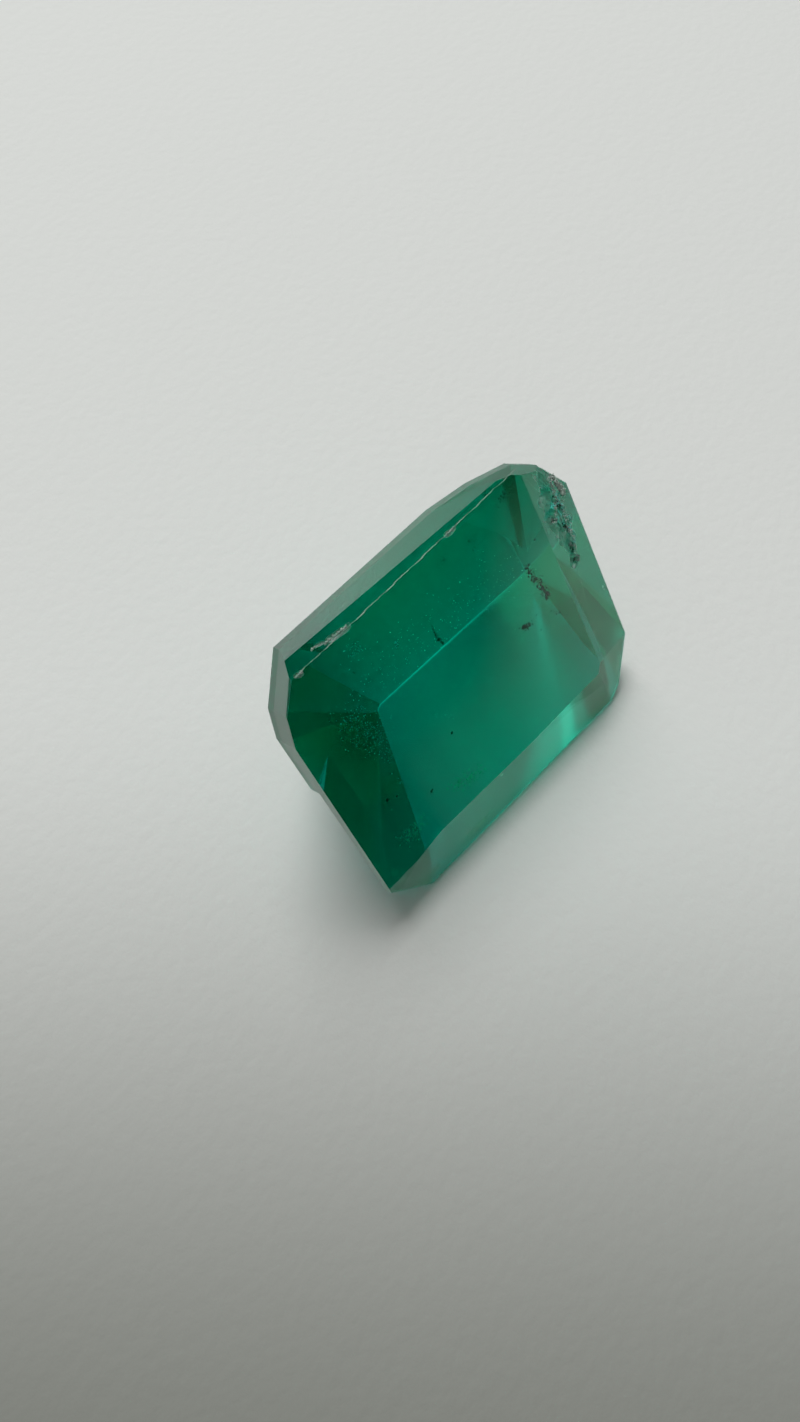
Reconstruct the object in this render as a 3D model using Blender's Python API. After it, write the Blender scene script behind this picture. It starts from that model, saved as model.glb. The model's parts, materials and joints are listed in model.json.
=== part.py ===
"""A large step-cut emerald, cut by hand, lying on one long side of its pavilion.

The stone is sawn out of a block one flat facet at a time, then hollowed and chipped where the real one is
worn. Its own frame has X along the stone, Y across it and Z out of the table, with the upper edge of the
girdle at Z = 0. An empty then tips it over until one long pavilion facet lies flat on the ground, with the
middle of the stone's box above the origin.
"""
import math

import bmesh
import bpy
from mathutils import Matrix, Vector, noise

MM = 0.001

# Heights measured from the upper edge of the girdle.
CROWN_HEIGHT = 0.99 * MM
GIRDLE_THICKNESS = 0.52 * MM
BLOCK = 40 * MM

CROWN, PAVILION = 1, -1
RESTING_SIDE = "lower long side"

# The girdle outline seen from above the table, corner by corner and counter-clockwise, in millimetres. Each
# row starts a side: the corner, the crown slope at the girdle, and the pavilion slope, in degrees.
SIDES = {
    "left corner": ((-8.71, 9.72), 82.0, 45.7),
    "left shoulder": ((-10.69, 7.33), 84.0, 50.8),
    "left end": ((-11.22, 5.63), 87.0, 56.5),
    "front corner": ((-11.35, -6.55), 84.0, 53.0),
    RESTING_SIDE: ((-8.55, -9.38), 19.5, 56.8),
    "right shoulder": ((8.32, -10.08), 17.5, 66.0),
    "right corner": ((9.33, -9.50), 17.0, 74.0),
    "right end": ((11.27, -6.82), 16.2, 85.0),
    "top corner": ((11.27, 4.83), 60.0, 71.0),
    "top bevel": ((9.80, 7.15), 66.0, 60.8),
    "top shoulder": ((8.20, 8.35), 84.0, 52.5),
    "upper bend": ((5.37, 9.13), 84.0, 50.0),
    "upper long side": ((2.51, 9.55), 50.0, 46.3),
}

# Crown facets that run along the table: the way each faces, its slope, and a point of its edge on the table.
UPPER_STEP = (90.0, 35.0, (0.0, 8.58))
CORNER_STEP = (139.0, 42.0, (-9.55, 8.35))
RIGHT_STEP = (268.5, 13.0, (-1.37, -6.33))
FRONT_FACET = (275.7, 16.7, (-6.75, -5.91))
LOWER_FACET = (266.4, 16.2, (-6.75, -5.91))

# The left end is broken away below the table along its front half.
UNDERCUT_SLOPE = 62.0
UNDERCUT_TOP = (-11.45, 0.0, 0.62)
UNDERCUT_END = 1.75

# Chips and the broken top corner: centre, half-sizes, turn in plan, lean about the stone's width, and how
# lumpy the break is, in millimetres and degrees.
CHIPS = {
    "edge_chip_long": ((-6.05, 8.68, 0.93), (0.95, 0.24, 0.17), -13.0, 0.0, 0.07),
    "edge_chip_tail": ((-7.10, 8.88, 0.80), (0.40, 0.12, 0.12), -18.0, 0.0, 0.05),
    "edge_chip_corner": ((-8.90, 8.52, 0.98), (0.34, 0.17, 0.12), -30.0, 0.0, 0.05),
    "edge_chip_top": ((2.35, 8.52, 1.02), (0.45, 0.20, 0.15), -10.0, 0.0, 0.07),
    "end_notch": ((-11.55, 1.75, 0.35), (0.30, 0.45, 0.75), 0.0, 0.0, 0.10),
    "corner_nick": ((10.42, -8.42, -0.05), (0.30, 0.24, 0.42), 36.0, 0.0, 0.06),
    "broken_channel": ((9.52, 3.70, 0.98), (1.15, 4.00, 0.82), 5.0, 16.0, 0.42),
    "broken_corner": ((9.95, 6.85, 0.90), (0.85, 1.05, 0.95), 35.0, 20.0, 0.30),
}
COARSE_CHIP, FINE_CHIP = 3, 5
FINE_CHIP_SIZE = 2.0


def emerald_material():
    """Clear green stone: fully transmitting, with the refraction of beryl."""
    material = bpy.data.materials.new("emerald")
    material.use_nodes = True
    shader = material.node_tree.nodes["Principled BSDF"]
    shader.inputs["Base Color"].default_value = (0.02, 0.32, 0.19, 1.0)
    shader.inputs["Roughness"].default_value = 0.02
    shader.inputs["Metallic"].default_value = 0.0
    shader.inputs["IOR"].default_value = 1.58
    shader.inputs["Transmission Weight"].default_value = 1.0
    return material


def cut_facet(mesh, point, normal):
    """Saw off everything past the plane and close the cut with one flat face."""
    geometry = mesh.verts[:] + mesh.edges[:] + mesh.faces[:]
    cut = bmesh.ops.bisect_plane(
        mesh, geom=geometry, dist=1e-7, plane_co=point, plane_no=normal, clear_outer=True)
    rim = [item for item in cut["geom_cut"] if isinstance(item, bmesh.types.BMEdge)]
    if rim:
        bmesh.ops.contextual_create(mesh, geom=rim)


def facet_normal(facing, slope, half):
    """The outward direction of a facet: the way it faces in plan, and its slope from the girdle plane."""
    tilt = math.radians(slope)
    return Vector((facing.x * math.sin(tilt), facing.y * math.sin(tilt), half * math.cos(tilt)))


def side_line(name):
    """The corner where a side starts, and the way the side faces in plan."""
    names = list(SIDES)
    following = names[(names.index(name) + 1) % len(names)]
    start, end = (Vector((*SIDES[key][0], 0.0)) * MM for key in (name, following))
    along = (end - start).normalized()
    return start, Vector((along.y, -along.x, 0.0))


def table_facet(direction, slope, edge):
    """A point and the outward direction of a crown facet that is placed by its edge on the table."""
    turn = math.radians(direction)
    point = Vector((edge[0] * MM, edge[1] * MM, CROWN_HEIGHT))
    return point, facet_normal(Vector((math.cos(turn), math.sin(turn), 0.0)), slope, CROWN)


def cut_stone():
    """The table, then the girdle, crown facet and pavilion facet of each side, then the steps of the crown."""
    mesh = bmesh.new()
    bmesh.ops.create_cube(mesh, size=BLOCK)
    cut_facet(mesh, Vector((0.0, 0.0, CROWN_HEIGHT)), Vector((0.0, 0.0, 1.0)))
    for name, (_, crown_slope, pavilion_slope) in SIDES.items():
        start, facing = side_line(name)
        below = start - Vector((0.0, 0.0, GIRDLE_THICKNESS))
        cut_facet(mesh, start, facing)
        cut_facet(mesh, start, facet_normal(facing, crown_slope, CROWN))
        cut_facet(mesh, below, facet_normal(facing, pavilion_slope, PAVILION))
    for step in (UPPER_STEP, CORNER_STEP, RIGHT_STEP):
        cut_facet(mesh, *table_facet(*step))
    bmesh.ops.recalc_face_normals(mesh, faces=mesh.faces[:])
    return mesh


def cut_waste(planes):
    """The waste that lies outside every one of the given planes, as a closed block."""
    mesh = bmesh.new()
    bmesh.ops.create_cube(mesh, size=BLOCK)
    for point, normal in planes:
        cut_facet(mesh, point, -normal)
    bmesh.ops.recalc_face_normals(mesh, faces=mesh.faces[:])
    return mesh


def lump(half_sizes, roughness, seed):
    """A closed pebble whose surface is pushed in and out by ridged noise, the negative of a chip."""
    level = FINE_CHIP if max(half_sizes) > FINE_CHIP_SIZE else COARSE_CHIP
    mesh = bmesh.new()
    bmesh.ops.create_icosphere(mesh, subdivisions=level, radius=1.0)
    for vert in mesh.verts:
        place = Vector([axis * size for axis, size in zip(vert.co, half_sizes)])
        ridges = abs(noise.noise(place * 1.1 + Vector((seed, 0.0, 0.0)))) * 1.6 - 0.4
        grains = noise.noise(place * 3.4 + Vector((0.0, seed, 0.0))) * 0.5
        vert.co = (place + vert.co * roughness * (ridges + grains)) * MM
    return mesh


def add_object(name, mesh, parent):
    """Put a mesh into the scene under the empty."""
    data = bpy.data.meshes.new(name)
    mesh.to_mesh(data)
    mesh.free()
    item = bpy.data.objects.new(name, data)
    bpy.context.scene.collection.objects.link(item)
    item.parent = parent
    return item


def cut_away(stone, name, mesh):
    """Take a closed mesh out of the stone, with a Boolean that stays on it."""
    cutter = add_object(name, mesh, stone.parent)
    cutter.hide_render = True
    cutter.display_type = "WIRE"
    cut = stone.modifiers.new(name, "BOOLEAN")
    cut.operation = "DIFFERENCE"
    cut.solver = "EXACT"
    cut.object = cutter
    return cutter


def resting_matrix(mesh):
    """Tip the stone until its resting facet faces down, then set its box on the origin."""
    _, facing = side_line(RESTING_SIDE)
    down = facet_normal(facing, SIDES[RESTING_SIDE][2], PAVILION)
    tipped = down.rotation_difference(Vector((0.0, 0.0, -1.0))).to_matrix().to_4x4()
    corners = [tipped @ vert.co for vert in mesh.verts]
    low, high = (Vector([limit(corner[axis] for corner in corners) for axis in range(3)])
                 for limit in (min, max))
    middle = (low + high) / 2
    return Matrix.Translation((-middle.x, -middle.y, -low.z)) @ tipped


def build():
    """The stone, and the waste and chips that are taken out of it."""
    for item in list(bpy.data.objects):
        bpy.data.objects.remove(item)
    faceted = cut_stone()
    pose = bpy.data.objects.new("resting_pose", None)
    bpy.context.scene.collection.objects.link(pose)
    pose.matrix_world = resting_matrix(faceted)
    stone = add_object("cut_emerald", faceted, pose)
    stone.data.materials.append(emerald_material())

    crown_waste = cut_waste([table_facet(*FRONT_FACET), table_facet(*LOWER_FACET)])
    cut_away(stone, "crown_waste", crown_waste)
    under = facet_normal(Vector((-1.0, 0.0, 0.0)), UNDERCUT_SLOPE, PAVILION)
    end_waste = cut_waste([
        (Vector(UNDERCUT_TOP) * MM, under),
        (Vector((0.0, UNDERCUT_END, 0.0)) * MM, Vector((0.0, -1.0, 0.0)))])
    cut_away(stone, "end_waste", end_waste)
    for seed, (name, (centre, half_sizes, turn, lean, roughness)) in enumerate(CHIPS.items()):
        chip = cut_away(stone, name, lump(half_sizes, roughness, seed * 7.3))
        chip.location = Vector(centre) * MM
        chip.rotation_euler = (0.0, math.radians(lean), math.radians(turn))


build()
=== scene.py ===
import json
import math

import bmesh
import bpy
import numpy as np
from mathutils import Matrix, Vector


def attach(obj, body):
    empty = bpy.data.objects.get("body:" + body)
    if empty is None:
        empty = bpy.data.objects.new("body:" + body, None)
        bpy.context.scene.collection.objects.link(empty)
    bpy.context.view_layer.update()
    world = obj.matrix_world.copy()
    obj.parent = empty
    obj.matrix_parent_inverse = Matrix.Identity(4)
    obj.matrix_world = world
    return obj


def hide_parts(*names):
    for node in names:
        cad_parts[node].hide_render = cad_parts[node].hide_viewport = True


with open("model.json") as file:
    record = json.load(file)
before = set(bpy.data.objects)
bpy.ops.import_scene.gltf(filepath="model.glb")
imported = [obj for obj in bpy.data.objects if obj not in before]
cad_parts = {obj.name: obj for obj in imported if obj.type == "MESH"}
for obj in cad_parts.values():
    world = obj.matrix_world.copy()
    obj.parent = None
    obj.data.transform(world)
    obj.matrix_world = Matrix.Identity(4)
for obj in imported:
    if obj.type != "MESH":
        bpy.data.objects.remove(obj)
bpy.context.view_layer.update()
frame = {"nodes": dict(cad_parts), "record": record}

# The view. A camera 64 mm above the paper, behind the stone's left end, looks steeply down on its table.
# Heading is counted from +Y towards +X and pitch down from level.
MM = 0.001
CAMERA_PLACE = Vector((-26.6439, -18.1565, 64.0963)) * MM
CAMERA_HEADING, CAMERA_PITCH, CAMERA_ROLL = 51.62, 63.00, 2.887
camera_data = bpy.data.cameras.new("camera")
camera_data.sensor_width = 36.0
camera_data.lens = 28.608
camera_data.clip_start = 1 * MM
camera_data.clip_end = 10.0
camera = bpy.data.objects.new("camera", camera_data)
camera.rotation_mode = "QUATERNION"
camera.rotation_quaternion = (Matrix.Rotation(math.radians(-CAMERA_HEADING), 4, "Z")
                              @ Matrix.Rotation(math.radians(90 - CAMERA_PITCH), 4, "X")
                              @ Matrix.Rotation(math.radians(CAMERA_ROLL), 4, "Z")).to_quaternion()
camera.location = CAMERA_PLACE
bpy.context.scene.collection.objects.link(camera)
bpy.context.scene.camera = camera

# The stone. One piece of emerald, cut and polished by hand on a wheel. Crown and table are polished
# bright, the bezels and the girdle are left ground, the pavilion's polish is soft, more so at its ends,
# and the breaks and chips are bare conchoidal fracture.
BERYL_INDEX = 1.58
ABSORBED = (900.0, 22.5, 49.0)   # red, green and blue taken up per metre of the way through
GRAIN_SIZE, GRAIN_DEPTH = 0.15, 0.03   # mm, coarser than the real grit's marks so that they show
FROST_ROUGHNESS = 0.6
FROST_INDEX = 4.0                # well over the stone's own, for the many tiny cracks of a ground face
FINISHES = {                     # roughness, frost and depth of grain, each from 0 to 1
    "polished crown": (0.0, 0.0, 0.0),
    "ground girdle": (0.45, 0.45, 0.4),
    "soft pavilion": (0.12, 0.0, 0.0),
    "soft pavilion end": (0.18, 0.0, 0.0),
    "long bezel": (0.35, 0.06, 0.3),
    "corner bezel": (0.5, 1.0, 0.3),
    "fracture": (0.35, 0.5, 1.0),
}
GIRDLE_LEAN, CORNER_LEAN, LONG_LEAN = 0.05, 0.5, 0.75   # cosines of the angle between a face and the table
END_TURN = 0.3                   # how far a pavilion facet faces along the stone to count as an end
MERGE = 0.002 * MM
COPLANAR = math.radians(0.6)
FACET_AREA = 0.12 * MM ** 2
FACET_FIT = 0.01 * MM


def linear(colour):
    """An sRGB hex colour as linear RGBA: a straight line near black, a power of 2.4 above it."""
    parts = np.array([int(colour[i:i + 2], 16) for i in (1, 3, 5)]) / 255
    return (*np.where(parts <= 0.04045, parts / 12.92, ((parts + 0.055) / 1.055) ** 2.4), 1.0)


def add_node(tree, kind, values=None, links=None, **settings):
    """Add a shader node with its settings, the values of its open sockets and the sockets it reads."""
    made = tree.nodes.new(kind)
    for name, value in settings.items():
        setattr(made, name, value)
    sockets = {socket.name: socket for socket in reversed(made.inputs) if socket.enabled}
    sockets.update(enumerate(made.inputs))
    for name, value in (values or {}).items():
        sockets[name].default_value = value
    for name, source in (links or {}).items():
        tree.links.new(source, sockets[name])
    return made


def empty_material(name):
    """A material with nothing in its node tree yet, and that tree."""
    material = bpy.data.materials.new(name)
    material.use_nodes = True
    material.node_tree.nodes.clear()
    return material, material.node_tree


def emerald():
    """Emerald is see-through and takes up red and a little blue on the way. Its surface is as rough, as
    frosted and as grained as the face attributes say."""
    material, tree = empty_material("emerald, hand cut")
    place = add_node(tree, "ShaderNodeTexCoord").outputs["Object"]
    rough, frost, depth = (add_node(tree, "ShaderNodeAttribute", attribute_name=name).outputs["Fac"]
                           for name in ("roughness", "frost", "grain"))
    grain = add_node(tree, "ShaderNodeTexNoise", {"Scale": 1 / (GRAIN_SIZE * MM), "Detail": 4.0},
                     {"Vector": place})
    relief = add_node(tree, "ShaderNodeBump", {"Distance": GRAIN_DEPTH * MM},
                      {"Height": grain.outputs["Fac"], "Strength": depth})
    body = add_node(tree, "ShaderNodeBsdfPrincipled",
                    {"Base Color": (1, 1, 1, 1), "IOR": BERYL_INDEX, "Transmission Weight": 1.0,
                     "Coat Roughness": FROST_ROUGHNESS, "Coat IOR": FROST_INDEX},
                    {"Normal": relief.outputs["Normal"], "Roughness": rough, "Coat Weight": frost})
    most = max(ABSORBED)
    green = add_node(tree, "ShaderNodeVolumeAbsorption",
                     {"Color": (*(1 - np.array(ABSORBED) / most), 1.0), "Density": most})
    add_node(tree, "ShaderNodeOutputMaterial",
             links={"Surface": body.outputs["BSDF"], "Volume": green.outputs["Volume"]})
    return material


def face_finishes(mesh, table_axis):
    """Each face's number in FINISHES. Large faces are facets, and so are small ones in a facet's plane. The
    rest is fracture. A facet's lean from the table, and how far it faces an end, say which it is. The
    corner bezels are the steep ones of the left end."""
    area, normal, centre = (np.empty(len(mesh.polygons) * size) for size in (1, 3, 3))
    mesh.polygons.foreach_get("area", area)
    mesh.polygons.foreach_get("normal", normal)
    mesh.polygons.foreach_get("center", centre)
    normal, centre = normal.reshape(-1, 3), centre.reshape(-1, 3)
    large = area > FACET_AREA
    same_turn = normal @ normal[large].T > math.cos(2 * COPLANAR)
    depth = np.abs(centre @ normal[large].T - np.sum(centre[large] * normal[large], axis=1))
    on_facet = np.any(same_turn & (depth < FACET_FIT), axis=1)
    lean = normal @ np.array(table_axis)
    back = lean < -GIRDLE_LEAN
    names = np.select([~on_facet, back & (np.abs(normal[:, 0]) > END_TURN), back, lean < GIRDLE_LEAN,
                       (lean < CORNER_LEAN) & (normal[:, 0] < 0), lean < LONG_LEAN],
                      ["fracture", "soft pavilion end", "soft pavilion", "ground girdle", "corner bezel",
                       "long bezel"], "polished crown")
    return np.array([list(FINISHES).index(name) for name in names])


table_axis = next(mount["axis"] for mount in frame["record"]["mounts"] if mount["name"] == "table")
stone_mesh = frame["nodes"]["cut_emerald"].data.copy()
stone_mesh.name = "polished_stone"
shape = bmesh.new()
shape.from_mesh(stone_mesh)
bmesh.ops.remove_doubles(shape, verts=shape.verts, dist=MERGE)
bmesh.ops.dissolve_limit(shape, angle_limit=COPLANAR, verts=shape.verts, edges=shape.edges)
shape.to_mesh(stone_mesh)
shape.free()
stone_mesh.materials.clear()
stone_mesh.materials.append(emerald())
finish = np.array(list(FINISHES.values()))[face_finishes(stone_mesh, table_axis)]
for name, values in zip(("roughness", "frost", "grain"), finish.T):
    stone_mesh.attributes.new(name, "FLOAT", "FACE").data.foreach_set("value", values.copy())
stone_mesh.polygons.foreach_set("material_index", np.zeros(len(stone_mesh.polygons), dtype=int))
stone_mesh.polygons.foreach_set("use_smooth", np.zeros(len(stone_mesh.polygons), dtype=bool))
stone = bpy.data.objects.new("polished_stone", stone_mesh)
bpy.context.scene.collection.objects.link(stone)
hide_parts("cut_emerald")
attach(stone, "root")

# The bruised edge. Wear has crushed the sharp edge between the table and the upper step to a thin, broken
# white line. It is a flat bead of crushed stone bedded in the edge, swelling and thinning along it.
GIRDLE_CENTRE = (-0.045, -1.910, 8.423)   # the stone's own origin, mm
EDGE_START, EDGE_END = -9.2, 7.7
EDGE_Y, EDGE_Z = 8.58, 0.99
EDGE_LEAN = math.radians(17.5)
BRUISE_STEPS, BRUISE_SIDES = 700, 8
BRUISE_WIDTH, BRUISE_HEIGHT = 0.028, 0.02   # half of each, mm
BRUISE_WAVES = (2.3, 1.1, 0.55, 0.27, 0.13)
SWELL_MEAN, SWELL_VARIES, SWELL_LEAST, SWELL_MOST, SWELL_SEED = 0.6, 0.9, 0.25, 1.2, 3
TAPER_POWER = 0.2
SHIFT, SHIFT_SEED = 0.05, 5                 # how far it strays across the edge, mm
CRUSHED_COLOURS = ("#7fa592", "#dfe9e2")
CRUSHED_PATCH, CRUSHED_ROUGHNESS = 0.25, 0.7


def in_model(points):
    """Points in the stone's own frame, in mm, as points of the model in metres: turned and then moved."""
    turn = np.array(Vector((0, 0, 1)).rotation_difference(Vector(table_axis)).to_matrix())
    return (np.asarray(points) @ turn.T + GIRDLE_CENTRE) * MM


def wander(along, seed):
    """A wavering value about 0: one sine for each wave length, each with its own phase and as strong as the
    root of its length."""
    phases = np.random.default_rng(seed).uniform(0, 2 * math.pi, len(BRUISE_WAVES))
    waves = np.array(BRUISE_WAVES)
    return np.sin(2 * math.pi * along[:, None] / waves + phases) @ np.sqrt(waves) / np.sqrt(waves).sum()


def new_piece(name, points, faces, material):
    """A closed mesh of the model, facing out, that rides on the stone."""
    mesh = bpy.data.meshes.new(name)
    mesh.from_pydata(points.tolist(), [], faces)
    shape = bmesh.new()
    shape.from_mesh(mesh)
    bmesh.ops.recalc_face_normals(shape, faces=shape.faces)
    shape.to_mesh(mesh)
    shape.free()
    mesh.materials.append(material)
    piece = bpy.data.objects.new(name, mesh)
    bpy.context.scene.collection.objects.link(piece)
    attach(piece, "root")
    return piece


def closed_skin(rings):
    """Points and faces of a skin over rings of points: quads from ring to ring, and triangles from each end
    ring to a pole at its middle."""
    count, around = rings.shape[:2]
    points = np.concatenate([rings.reshape(-1, 3), rings[[0, -1]].mean(axis=1)])
    number = np.arange(count * around).reshape(count, around)
    after = np.roll(number, -1, axis=1)
    quads = np.stack([number[:-1], after[:-1], after[1:], number[1:]], axis=-1).reshape(-1, 4)
    poles = count * around + np.arange(2)
    caps = [np.stack([after[end], number[end], np.full(around, pole)], axis=-1)
            for end, pole in zip((0, -1), poles)]
    return points, quads.tolist() + np.concatenate(caps).tolist()


def mottled(name, colours, patch, roughness):
    """A dull, solid material that wavers between two colours in patches of the given size in mm."""
    material, tree = empty_material(name)
    place = add_node(tree, "ShaderNodeTexCoord").outputs["Object"]
    patches = add_node(tree, "ShaderNodeTexNoise", {"Scale": 1 / (patch * MM), "Detail": 3.0},
                       {"Vector": place})
    colour = add_node(tree, "ShaderNodeMix", {"A": linear(colours[0]), "B": linear(colours[1])},
                      {"Factor": patches.outputs["Fac"]}, data_type="RGBA")
    body = add_node(tree, "ShaderNodeBsdfPrincipled", {"Roughness": roughness},
                    {"Base Color": next(socket for socket in colour.outputs if socket.enabled)})
    add_node(tree, "ShaderNodeOutputMaterial", links={"Surface": body.outputs["BSDF"]})
    return material


along = np.linspace(EDGE_START, EDGE_END, BRUISE_STEPS)
swell = np.clip(SWELL_MEAN + SWELL_VARIES * wander(along, SWELL_SEED), SWELL_LEAST, SWELL_MOST)
swell = swell * np.sin(np.linspace(0, math.pi, BRUISE_STEPS)) ** TAPER_POWER
shift = SHIFT * wander(along, SHIFT_SEED)
angle = np.linspace(0, 2 * math.pi, BRUISE_SIDES, endpoint=False)
across = np.array([0, math.cos(EDGE_LEAN), -math.sin(EDGE_LEAN)])
outward = np.array([0, math.sin(EDGE_LEAN), math.cos(EDGE_LEAN)])
middle = np.stack([along, np.full(BRUISE_STEPS, EDGE_Y), np.full(BRUISE_STEPS, EDGE_Z)], axis=-1)
middle = middle + across * shift[:, None]
wide = BRUISE_WIDTH * swell[:, None, None] * np.cos(angle)[:, None] * across
high = BRUISE_HEIGHT * swell[:, None, None] * np.sin(angle)[:, None] * outward
bead, bead_faces = closed_skin(middle[:, None] + wide + high)
crushed = mottled("emerald, crushed", CRUSHED_COLOURS, CRUSHED_PATCH, CRUSHED_ROUGHNESS)
bruised_edge = new_piece("bruised_edge", in_model(bead), bead_faces, crushed)

# The crumbs and inclusions. Crushed stone sits in the chips and on the break, and dark specks, a short
# fissure, torn feathers and pale wisps of healed fractures lie inside the stone. Bright green crumbs inside
# it are a painted highlight, for the patches of light sent back inside the stone. All are strewn as
# eight-sided crumbs.
CHIP_CRUMBS = (   # each strew's count, start, end, spread about that line, crumb size in mm, and flatness
    (90, (-6.9, 8.75, 0.90), (-5.3, 8.66, 0.95), 0.05, 0.045, 0.5),
    (30, (-7.6, 8.95, 0.76), (-6.9, 8.80, 0.82), 0.03, 0.035, 0.5),
    (30, (-9.1, 8.52, 0.95), (-8.6, 8.52, 0.95), 0.04, 0.040, 0.5),
    (40, (2.0, 8.56, 0.96), (2.8, 8.50, 0.96), 0.05, 0.040, 0.5),
    (120, (10.12, 6.15, 0.26), (10.40, 5.90, 0.19), 0.07, 0.05, 0.4),
    (420, (10.35, 5.80, 0.25), (10.66, 4.60, 0.20), 0.09, 0.06, 0.4),
    (110, (10.0, 6.0, 0.35), (9.9, 4.9, 0.38), 0.05, 0.045, 0.4),
    (90, (9.9, 4.9, 0.36), (9.0, 3.6, 0.60), 0.06, 0.04, 0.4),
    (110, (10.25, 4.3, 0.28), (9.8, 1.0, 0.42), 0.08, 0.04, 0.4),
    (14, (10.87, -2.45, 0.12), (10.87, -2.9, 0.12), 0.03, 0.05, 0.5),
    (20, (-1.6, -6.45, 0.93), (-1.8, -6.40, 0.93), 0.03, 0.03, 0.5),
)
DARK_CRUMBS = (
    (3, (-5.94, 5.64, -0.84), (-5.94, 5.60, -0.84), 0.04, 0.06, 0.8),
    (5, (-8.35, -1.96, -0.36), (-8.30, -1.90, -0.36), 0.05, 0.08, 0.8),
    (3, (-7.56, -2.69, -1.25), (-7.50, -2.69, -1.25), 0.03, 0.06, 0.8),
    (6, (-5.78, -4.04, -0.79), (-5.70, -4.00, -0.79), 0.06, 0.07, 0.8),
    (4, (-2.57, -2.50, -1.69), (-2.57, -2.45, -1.69), 0.04, 0.06, 0.8),
    (4, (7.68, 3.62, -0.79), (7.68, 3.60, -0.79), 0.03, 0.05, 0.8),
    (3, (5.62, -0.38, -0.78), (5.65, -0.40, -0.78), 0.04, 0.05, 0.8),
    (3, (5.65, -1.65, -1.22), (5.65, -1.60, -1.22), 0.03, 0.05, 0.8),
    (34, (-0.44, 4.06, -1.72), (-0.47, 3.17, -1.90), 0.025, 0.045, 0.4),
    (24, (-0.47, 3.17, -1.90), (-0.25, 2.28, -2.16), 0.04, 0.055, 0.4),
    (110, (6.39, 2.64, -0.79), (6.62, 1.31, -0.78), 0.12, 0.055, 0.3),
    (140, (6.62, 1.31, -0.78), (6.89, -0.07, -0.78), 0.16, 0.06, 0.3),
    (80, (4.39, -0.32, -0.78), (4.99, -0.54, -0.78), 0.10, 0.055, 0.3),
    (30, (6.48, -0.75, -0.33), (7.66, -2.08, -0.33), 0.05, 0.035, 0.3),
    (80, (3.9, 6.3, -1.26), (4.6, 6.1, -1.26), 0.25, 0.03, 0.4),
    (110, (6.2, 7.2, -0.45), (7.4, 7.3, -0.45), 0.28, 0.03, 0.4),
    (40, (1.4, 6.9, -0.82), (1.8, 6.8, -0.82), 0.16, 0.03, 0.4),
)
HOLLOW_CRUMBS = (
    (60, (9.35, 0.85, 0.36), (9.75, 0.60, 0.36), 0.08, 0.06, 0.3),
    (60, (9.76, 1.80, 0.24), (9.60, 1.20, 0.30), 0.08, 0.06, 0.3),
    (60, (9.95, 2.90, 0.00), (10.12, 2.30, 0.12), 0.07, 0.06, 0.3),
    (60, (9.0, 3.95, 0.26), (9.4, 3.60, 0.20), 0.09, 0.06, 0.3),
    (60, (10.0, 5.0, 0.18), (10.1, 3.7, 0.18), 0.07, 0.06, 0.3),
)
PALE_CRUMBS = (
    (14, (-3.11, 5.25, -0.37), (-3.15, 5.20, -0.37), 0.07, 0.04, 0.4),
    (10, (-5.47, 1.82, -0.82), (-5.45, 1.80, -0.82), 0.06, 0.04, 0.4),
    (60, (-5.25, 6.29, -1.76), (-4.9, 6.20, -1.76), 0.25, 0.03, 0.3),
    (260, (-7.6, 3.5, -1.9), (-6.4, -0.4, -2.6), 0.50, 0.03, 0.3),
    (200, (-6.9, 2.6, -2.7), (-5.5, -0.8, -2.6), 0.45, 0.03, 0.3),
    (60, (-3.1, -0.2, -0.8), (-2.1, -1.3, -0.8), 0.12, 0.03, 0.3),
    (30, (0.9, -1.3, -0.8), (1.4, -1.7, -0.8), 0.10, 0.03, 0.3),
    (500, (-6.0, 4.5, -1.2), (6.0, 3.0, -1.2), 1.0, 0.022, 0.3),
    (500, (-6.0, -2.0, -1.2), (6.0, -2.0, -1.2), 1.0, 0.022, 0.3),
)
# Painted highlight: bright green crumbs for the bright patches of light sent back inside the stone.
GREEN_CRUMBS = (
    (260, (-4.2, -5.4, -1.67), (-2.2, -6.3, -1.66), 0.28, 0.05, 0.3),
    (200, (-8.5, -5.4, -1.68), (-7.0, -5.9, -1.68), 0.28, 0.05, 0.3),
)
SPREAD_DRAWS = 4
SPREAD_SHAPE = np.array([1.73, 1.73, 0.7])   # four even draws times 1.73 spread by one, and less in depth
CRUMB_VARIES, CRUMB_NARROW = 0.4, 0.6
CRUMB_POINTS = np.array([(1, 0, 0), (-1, 0, 0), (0, 1, 0), (0, -1, 0), (0, 0, 1), (0, 0, -1)])
CRUMB_FACES = np.array([(0, 2, 4), (2, 1, 4), (1, 3, 4), (3, 0, 4),
                        (2, 0, 5), (1, 2, 5), (3, 1, 5), (0, 3, 5)])


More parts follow.
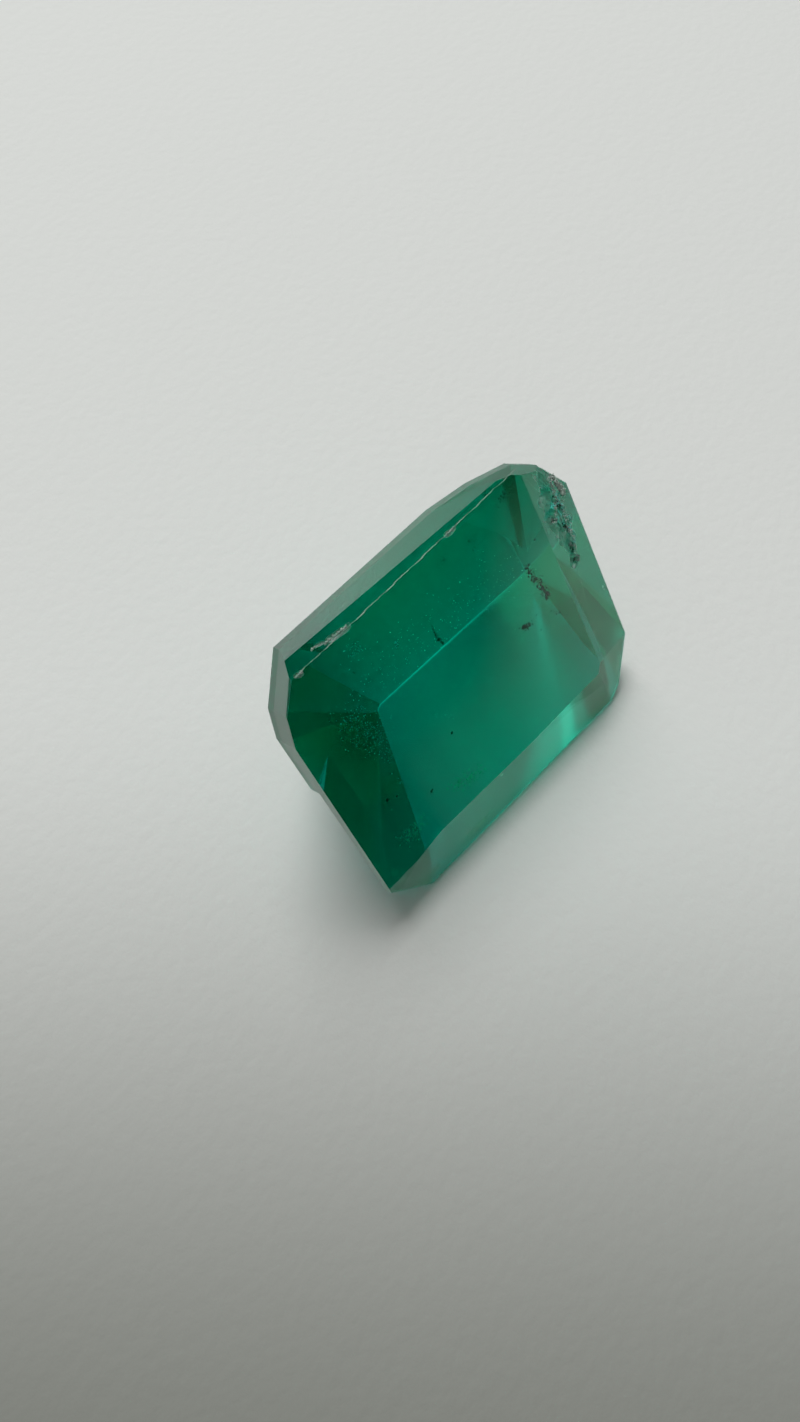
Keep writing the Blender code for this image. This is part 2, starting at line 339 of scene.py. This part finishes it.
def strewn_crumbs(strews, seed):
    """Points and faces of crumbs. A crumb's place is a random share of the way along its line, plus a
    spread: the sum of a few even draws less its mean, which is near normal. Its size is log-normal, one of
    its axes is narrowed and one flattened, and a random unit quaternion turns it."""
    rng = np.random.default_rng(seed)
    counts = np.array([strew[0] for strew in strews])
    start, end = (np.repeat([strew[i] for strew in strews], counts, axis=0) for i in (1, 2))
    spread, size, flat = (np.repeat([strew[i] for strew in strews], counts)[:, None] for i in (3, 4, 5))
    total = counts.sum()
    place = start + (end - start) * rng.uniform(size=(total, 1))
    drawn = rng.uniform(size=(total, 3, SPREAD_DRAWS)).sum(axis=2) - SPREAD_DRAWS / 2
    place = place + spread * SPREAD_SHAPE * drawn
    half = size * np.exp(CRUMB_VARIES * rng.normal(size=(total, 1)))
    narrow = CRUMB_NARROW + (1 - CRUMB_NARROW) * rng.uniform(size=(total, 1))
    half = half * np.concatenate([np.ones((total, 1)), narrow, flat], axis=1)
    quaternions = rng.normal(size=(total, 4)).T
    w, x, y, z = quaternions / np.linalg.norm(quaternions, axis=0)
    turn = np.array([[1 - 2 * (y * y + z * z), 2 * (x * y - z * w), 2 * (x * z + y * w)],
                     [2 * (x * y + z * w), 1 - 2 * (x * x + z * z), 2 * (y * z - x * w)],
                     [2 * (x * z - y * w), 2 * (y * z + x * w), 1 - 2 * (x * x + y * y)]])
    points = place[:, None] + np.einsum("ijn,nkj->nki", turn, CRUMB_POINTS * half[:, None])
    faces = CRUMB_FACES + len(CRUMB_POINTS) * np.arange(total)[:, None, None]
    return points.reshape(-1, 3), faces.reshape(-1, 3).tolist()


INCLUDED = {   # each piece's strews, seed, colours, patch in mm and roughness
    "chip_crumbs": (CHIP_CRUMBS, 11, "emerald, crushed crumbs", CRUSHED_COLOURS, CRUSHED_PATCH,
                    CRUSHED_ROUGHNESS),
    "dark_inclusions": (DARK_CRUMBS, 12, "mica, dark inclusions", ("#081f17", "#12382b"), 0.2, 0.5),
    "break_hollows": (HOLLOW_CRUMBS, 15, "emerald, deep in the break", ("#2b5c49", "#40806a"), 0.3, 0.4),
    "pale_wisps": (PALE_CRUMBS, 13, "healed fracture, pale", ("#cfe9dd", "#e2f6ee"), 0.3, 0.6),
    "green_highlight_crumbs": (GREEN_CRUMBS, 14, "painted highlight, bright green", ("#92dcb2", "#bdf3d5"), 0.3, 0.6),
}
for name, (strews, seed, kind, colours, patch, roughness) in INCLUDED.items():
    points, faces = strewn_crumbs(strews, seed)
    material = mottled(kind, colours, patch, roughness)
    new_piece(name, in_model(points), faces, material)

# The deep green end. The green here is deeper towards the left end, so that end is darker. A zone is the
# stone's own shape, cut off square across and drawn in a little. It has no surface of its own to see, only
# more of the green, so the zones shade into one another.
ZONES = {"green_zone_1": (-3.0, 0.985, 14.0), "green_zone_2": (-5.5, 0.97, 16.0),
         "green_zone_3": (-8.0, 0.955, 16.0)}   # where it starts in mm, its size, the green it takes up
ZONE_SHARES = (12.0, 1.0, 0.8)                   # red, green and blue taken up, against that green


def stone_end(limit, size):
    """The stone's mesh up to a plane square across it, closed there, and scaled about its box's middle."""
    shape = bmesh.new()
    shape.from_mesh(stone_mesh)
    turn = Vector((0, 0, 1)).rotation_difference(Vector(table_axis)).to_matrix()
    bmesh.ops.bisect_plane(shape, geom=shape.verts[:] + shape.edges[:] + shape.faces[:], clear_outer=True,
                           plane_co=in_model([(limit, 0, 0)])[0], plane_no=turn @ Vector((1, 0, 0)))
    bmesh.ops.contextual_create(shape, geom=[edge for edge in shape.edges if edge.is_boundary])
    bmesh.ops.triangulate(shape, faces=shape.faces)
    points = np.array([vertex.co for vertex in shape.verts])
    faces = [[vertex.index for vertex in face.verts] for face in shape.faces]
    shape.free()
    middle = (points.min(axis=0) + points.max(axis=0)) / 2
    return middle + (points - middle) * size, faces


for name, (limit, size, taken) in ZONES.items():
    material, tree = empty_material("emerald, deeper green zone")
    body = add_node(tree, "ShaderNodeBsdfPrincipled",
                    {"Base Color": (1, 1, 1, 1), "IOR": 1.0, "Transmission Weight": 1.0, "Roughness": 0.0})
    rates = taken * np.array(ZONE_SHARES)
    green = add_node(tree, "ShaderNodeVolumeAbsorption",
                     {"Color": (*(1 - rates / rates.max()), 1.0), "Density": rates.max()})
    add_node(tree, "ShaderNodeOutputMaterial",
             links={"Surface": body.outputs["BSDF"], "Volume": green.outputs["Volume"]})
    new_piece(name, *stone_end(limit, size), material)

# The paper. A plain pale sheet with a painted shadow: its colour darkens softly towards the viewer, where
# the camera held over it shades it. It lies a hair under the stone's lowest facet, because two faces in one
# plane would block the light between them.
PAPER_HALF = 600 * MM
PAPER_DROP = 0.03 * MM
# Painted shadow: the paper is pale where it is lit and takes the shaded tone towards the viewer.
PAPER_PALE, PAPER_SHADED = "#ebedea", "#8d8f88"
SHADOW_START, SHADOW_END = -46 * MM, 2 * MM
LIT_TOWARDS = (0.784, 0.621, 0.0)
FIBRE_SIZE, FIBRE_DEPTH = 0.8, 0.06   # mm, coarser than the real fibres so that they show
corners = [(x * PAPER_HALF, y * PAPER_HALF, -PAPER_DROP) for x, y in [(-1, -1), (1, -1), (1, 1), (-1, 1)]]
paper_mesh = bpy.data.meshes.new("paper")
paper_mesh.from_pydata(corners, [], [(0, 1, 2, 3)])
paper, tree = empty_material("paper, uncoated")
place = add_node(tree, "ShaderNodeTexCoord").outputs["Object"]
# The painted shadow: how far a point lies towards the lit side sets how pale the paper is there.
reach = add_node(tree, "ShaderNodeVectorMath", {1: LIT_TOWARDS}, {0: place}, operation="DOT_PRODUCT")
painted_shadow = add_node(tree, "ShaderNodeMapRange", {"From Min": SHADOW_START, "From Max": SHADOW_END},
                {"Value": reach.outputs["Value"]}, interpolation_type="SMOOTHSTEP")
colour = add_node(tree, "ShaderNodeMix", {"A": linear(PAPER_SHADED), "B": linear(PAPER_PALE)},
                  {"Factor": painted_shadow.outputs["Result"]}, data_type="RGBA")
fibre = add_node(tree, "ShaderNodeTexNoise", {"Scale": 1 / (FIBRE_SIZE * MM), "Detail": 5.0},
                 {"Vector": place})
relief = add_node(tree, "ShaderNodeBump", {"Distance": FIBRE_DEPTH * MM, "Strength": 0.8},
                  {"Height": fibre.outputs["Fac"]})
sheet = add_node(tree, "ShaderNodeBsdfDiffuse",
                 links={"Color": next(s for s in colour.outputs if s.enabled),
                        "Normal": relief.outputs["Normal"]})
add_node(tree, "ShaderNodeOutputMaterial", links={"Surface": sheet.outputs["BSDF"]})
paper_mesh.materials.append(paper)
floor = bpy.data.objects.new("paper", paper_mesh)
bpy.context.scene.collection.objects.link(floor)

# The light. A square of soft light high behind the stone, and a dim studio all round, brighter at the back.
# The lamp isn't seen through the stone: its facets would turn it to glints, which the real stone is too
# cloudy to show.
STUDIO_COLOUR = (0.83, 0.845, 0.825, 1.0)
STUDIO_STRENGTH, STUDIO_TILT = 0.25, 0.17
STUDIO_BRIGHT = math.radians(5)
LAMP_AZIMUTH, LAMP_RISE = math.radians(22), math.radians(60)
LAMP_DISTANCE, LAMP_SIDE, LAMP_POWER = 0.8, 0.42, 4.3
world = bpy.data.worlds.new("studio")
world.use_nodes = True
world.node_tree.nodes.clear()
direction = add_node(world.node_tree, "ShaderNodeTexCoord").outputs["Generated"]
bright_side = (math.sin(STUDIO_BRIGHT), math.cos(STUDIO_BRIGHT), 0.0)
facing = add_node(world.node_tree, "ShaderNodeVectorMath", {1: bright_side}, {0: direction},
                  operation="DOT_PRODUCT")
level = add_node(world.node_tree, "ShaderNodeMath", {1: STUDIO_TILT, 2: STUDIO_STRENGTH},
                 {0: facing.outputs["Value"]}, operation="MULTIPLY_ADD")
air = add_node(world.node_tree, "ShaderNodeBackground", {"Color": STUDIO_COLOUR},
               {"Strength": level.outputs["Value"]})
add_node(world.node_tree, "ShaderNodeOutputWorld", links={"Surface": air.outputs["Background"]})
bpy.context.scene.world = world
softbox = bpy.data.lights.new("soft light", "AREA")
softbox.shape = "SQUARE"
softbox.size = LAMP_SIDE
softbox.energy = LAMP_POWER
lamp = bpy.data.objects.new("soft light", softbox)
lamp.location = Vector((math.sin(LAMP_AZIMUTH) * math.cos(LAMP_RISE),
                        math.cos(LAMP_AZIMUTH) * math.cos(LAMP_RISE), math.sin(LAMP_RISE))) * LAMP_DISTANCE
lamp.rotation_mode = "QUATERNION"
lamp.rotation_quaternion = (-lamp.location).to_track_quat("-Z", "Y")
bpy.context.scene.collection.objects.link(lamp)
lamp.visible_transmission = False

# The painted reflection. A sheet stands upright beside the stone, and only its polished facets see it: it
# casts no shadow and lights nothing. Its black paints shade into their reflection and keeps the paper's
# reflection off most of the table, and it lets the paper through in a soft veil towards the stone's right
# end. A faint glow of its own, a painted reflection of light, evens the veil out.
SHEET_AZIMUTH = math.radians(158)
SHEET_DISTANCE = 13
SHEET_ALONG, SHEET_HEIGHT = (-22, 30), (0, 40)
SHEET_STEPS = 161                # along and up, and its measures are in mm
VEIL_EDGE = ((-30, 14.5), (-9, 14.2), (-7, 13.6), (-5, 12.0), (-3, 10.3), (-1, 8.6), (1, 7.6), (8.3, 7.0),
             (9.2, 3.2), (9.8, -6))
VEIL_SOFT = ((-3, 5.0), (2, 1.5))
VEIL_START, VEIL_END, VEIL_POWER, VEIL_LEAST = 3.0, -7.0, 1.5, 0.07
PAINTED_GLOW = 0.3
GLOW_EDGE = ((-6, -4.0), (4, -7.5), (14, -10.5))
GLOW_COLOUR = (0.9, 1.0, 0.95, 1.0)


def grid_faces(steps):
    """The quads of a square grid of points that are numbered row by row."""
    number = np.arange(steps ** 2).reshape(steps, steps)
    corners = [number[:-1, :-1], number[:-1, 1:], number[1:, 1:], number[1:, :-1]]
    return np.stack(corners, axis=-1).reshape(-1, 4).tolist()


ahead = np.array([math.sin(SHEET_AZIMUTH), math.cos(SHEET_AZIMUTH), 0])
side = np.array([math.cos(SHEET_AZIMUTH), -math.sin(SHEET_AZIMUTH), 0])
along, height = np.meshgrid(np.linspace(*SHEET_ALONG, SHEET_STEPS),
                            np.linspace(*SHEET_HEIGHT, SHEET_STEPS))
ramp = np.clip((along - VEIL_START) / (VEIL_END - VEIL_START), 0, 1) ** VEIL_POWER
ramp = VEIL_LEAST + (1 - VEIL_LEAST) * ramp
edge_height = np.interp(along, *np.transpose(VEIL_EDGE))
below = np.clip((edge_height - height) / np.interp(along, *np.transpose(VEIL_SOFT)) + 0.5, 0, 1)
points = (ahead * SHEET_DISTANCE + side * along[..., None] + np.array([0, 0, 1]) * height[..., None]) * MM
reflection_sheet_mesh = bpy.data.meshes.new("painted reflection sheet")
reflection_sheet_mesh.from_pydata(points.reshape(-1, 3).tolist(), [], grid_faces(SHEET_STEPS))
# Painted shade in the reflection: where the sheet shows black, and where it lets the paper through.
reflection_sheet_mesh.attributes.new("shade", "FLOAT", "POINT").data.foreach_set("value", (1 - ramp * below).ravel())
# Painted reflected light: the glow that the sheet adds to what it lets through.
glow_start = np.interp(height, *np.transpose(GLOW_EDGE))
glow_values = PAINTED_GLOW * np.clip(along - glow_start + 0.5, 0, 1)
reflection_sheet_mesh.attributes.new("glow", "FLOAT", "POINT").data.foreach_set("value", glow_values.ravel())
reflection_sheet_paint, tree = empty_material("painted reflection, black and glowing")
shade = add_node(tree, "ShaderNodeAttribute", attribute_name="shade").outputs["Fac"]
glow_share = add_node(tree, "ShaderNodeAttribute", attribute_name="glow").outputs["Fac"]
see_through = add_node(tree, "ShaderNodeBsdfTransparent").outputs["BSDF"]
glow = add_node(tree, "ShaderNodeEmission", {"Color": GLOW_COLOUR},
                {"Strength": glow_share}).outputs["Emission"]
clear = add_node(tree, "ShaderNodeAddShader", links={0: see_through, 1: glow}).outputs["Shader"]
black = add_node(tree, "ShaderNodeBsdfDiffuse", {"Color": (0, 0, 0, 1)}).outputs["BSDF"]
mixed = add_node(tree, "ShaderNodeMixShader", links={0: shade, 1: clear, 2: black})
add_node(tree, "ShaderNodeOutputMaterial", links={"Surface": mixed.outputs["Shader"]})
reflection_sheet_mesh.materials.append(reflection_sheet_paint)
reflection_sheet = bpy.data.objects.new("painted_reflection_sheet", reflection_sheet_mesh)
bpy.context.scene.collection.objects.link(reflection_sheet)
reflection_sheet.visible_camera = reflection_sheet.visible_diffuse = reflection_sheet.visible_transmission = False
reflection_sheet.visible_volume_scatter = reflection_sheet.visible_shadow = False

# The cards. Glowing cards that paint light and shade and light nothing else: a low dim card behind the
# stone and a pale one before it are seen only through the stone, as its dark and its bright end. A black
# card over its right side is seen only in the polished upper step, as a painted dark reflection.
CARD_DISTANCE = 300              # mm
CARD_STEPS = 9
CARDS = {   # the azimuths and rises it stands between, its light, and if it is seen through the stone
    "low_card": ((20, 110), (5, 39), 0.15, True),
    "pale_card": ((182, 238), (12, 34), 0.5, True),
    "step_card": ((112, 152), (50, 72), 0.0, False),
}


def card_surface(azimuths, rises):
    """Points of a patch of a sphere about the stone. A point's azimuth and its rise are its two parameters:
    its height is the rise's sine, and its way out is the rise's cosine."""
    azimuth, rise = np.radians(np.meshgrid(np.linspace(*azimuths, CARD_STEPS),
                                           np.linspace(*rises, CARD_STEPS)))
    points = np.stack([np.sin(azimuth) * np.cos(rise), np.cos(azimuth) * np.cos(rise), np.sin(rise)],
                      axis=-1)
    return points.reshape(-1, 3) * CARD_DISTANCE * MM


for name, (azimuths, rises, light, through) in CARDS.items():
    card_mesh = bpy.data.meshes.new(name)
    card_mesh.from_pydata(card_surface(azimuths, rises).tolist(), [], grid_faces(CARD_STEPS))
    board, tree = empty_material("card, painted light")
    # Each card glows: painted light and shade, seen only through the stone or in its upper step.
    face = add_node(tree, "ShaderNodeEmission", {"Color": STUDIO_COLOUR, "Strength": light})
    add_node(tree, "ShaderNodeOutputMaterial", links={"Surface": face.outputs["Emission"]})
    card_mesh.materials.append(board)
    card = bpy.data.objects.new(name, card_mesh)
    bpy.context.scene.collection.objects.link(card)
    card.visible_camera = card.visible_diffuse = card.visible_volume_scatter = card.visible_shadow = False
    card.visible_transmission = through
    card.visible_glossy = not through

# The picture. Colours are shown as they are, and light may pass many facets before it is given up, because
# a cut stone sends it back and forth inside.
scene = bpy.context.scene
scene.view_settings.view_transform = "Standard"
scene.cycles.max_bounces = 48
scene.cycles.transmission_bounces = 48
scene.cycles.transparent_max_bounces = 24
scene.cycles.diffuse_bounces = 4
scene.cycles.glossy_bounces = 12
